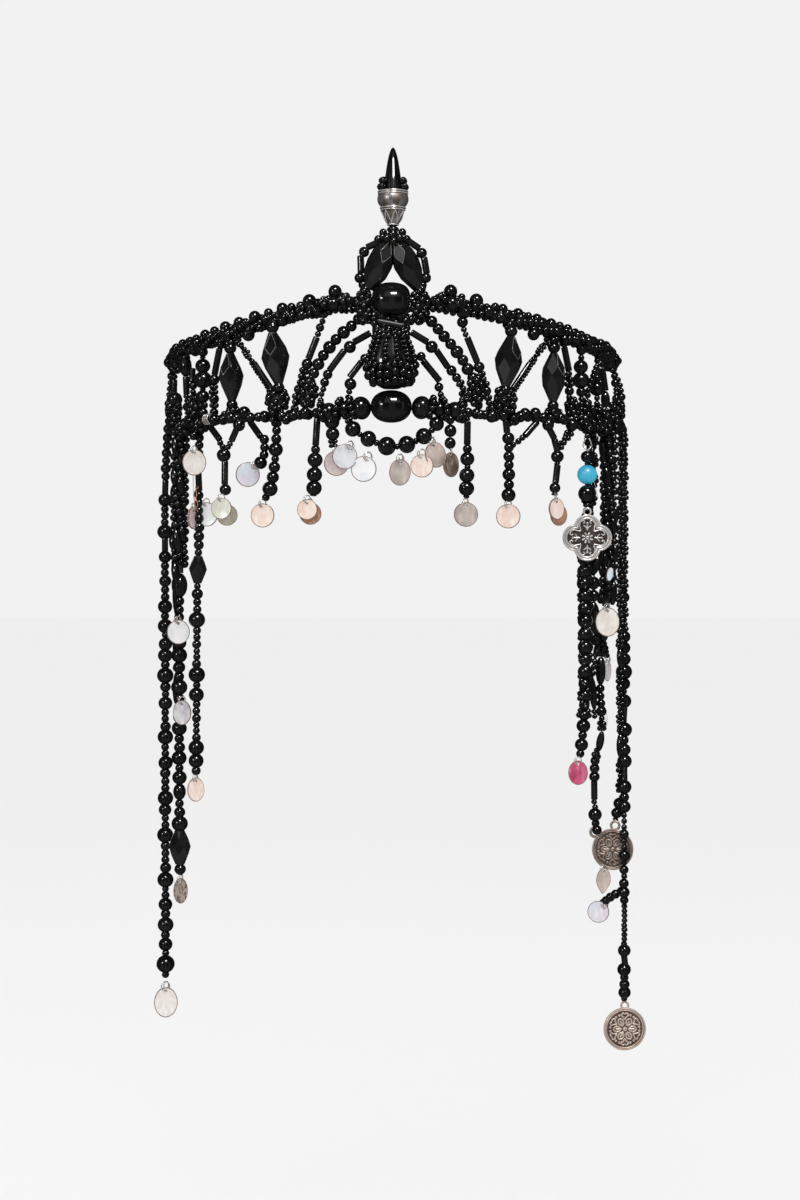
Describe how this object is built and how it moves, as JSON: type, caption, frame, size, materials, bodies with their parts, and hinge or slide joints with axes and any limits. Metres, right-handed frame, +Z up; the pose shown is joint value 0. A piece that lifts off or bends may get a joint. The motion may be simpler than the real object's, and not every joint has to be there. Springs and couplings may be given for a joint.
{
  "type": "beaded headdress",
  "caption": "Open half-ring browband of strung glass beads with a crest, a fringe of short drops with pearl discs, and long bead strands at the temples.",
  "frame": {"origin": "head seat: the centre of the band's plan curve at the height of its bottom rail, inside the head cavity", "axes": "+Z up along the spike; -Y is the front of the head; +X is to the right as seen from the front"},
  "size_m": [0.1794, 0.0895, 0.3205],
  "materials": {
    "black_glass": "opaque black glass, glossy",
    "aged_silver": "cast silver-coloured metal, dark in its hollows",
    "mother_of_pearl": "polished shell with a soft sheen, white to peach, pink, blue-grey and brown",
    "turquoise": "satin bright turquoise blue",
    "steel_wire": "bright jump rings and hanging wire"
  },
  "bodies": {
    "root": {"top_rail": "black_glass", "bottom_rail_left": "black_glass", "bottom_rail_right": "black_glass", "arch_left": "black_glass", "upper_leg_left": "black_glass", "lower_leg_left": "black_glass", "stay_left": "black_glass", "diagonal_left": "black_glass", "bugle_post_left": "black_glass", "bead_post_left": "black_glass", "end_post_left": "black_glass", "end_string_left": "black_glass", "arch_right": "black_glass", "upper_leg_right": "black_glass", "lower_leg_right": "black_glass", "stay_right": "black_glass", "diagonal_right": "black_glass", "bugle_post_right": "black_glass", "bead_post_right": "black_glass", "end_post_right": "black_glass", "end_string_right": "black_glass", "panel_drop_left_inner": "black_glass", "panel_drop_left_outer": "black_glass", "panel_drop_right_inner": "black_glass", "panel_drop_right_outer": "black_glass", "cabochon": "black_glass", "wrapped_drop": "black_glass", "oval_bead": "black_glass", "centre_bugle": "black_glass", "silver_cap": "aged_silver", "spike": "black_glass", "crest_cluster": "black_glass", "crest_drop_left": "black_glass", "crest_drop_right": "black_glass", "crest_side_left": "black_glass", "crest_side_right": "black_glass", "drop_1": "black_glass", "drop_2": "black_glass", "drop_3": "black_glass", "drop_4": "black_glass", "drop_5": "black_glass", "drop_6": "black_glass", "drop_7": "black_glass", "drop_8": "black_glass", "drop_9": "black_glass", "drop_10": "black_glass", "swag": "mother_of_pearl", "strand_left_outer": "black_glass", "strand_left_middle": "black_glass", "strand_left_inner": "black_glass", "strand_right_inner": "black_glass", "strand_right_middle": "black_glass", "strand_right_outer": "black_glass", "charm_string": "steel_wire", "turquoise_bead": "turquoise", "quatrefoil_charm": "aged_silver", "medallion_upper": "aged_silver", "medallion_lower": "aged_silver"}
  },
  "joints": []
}
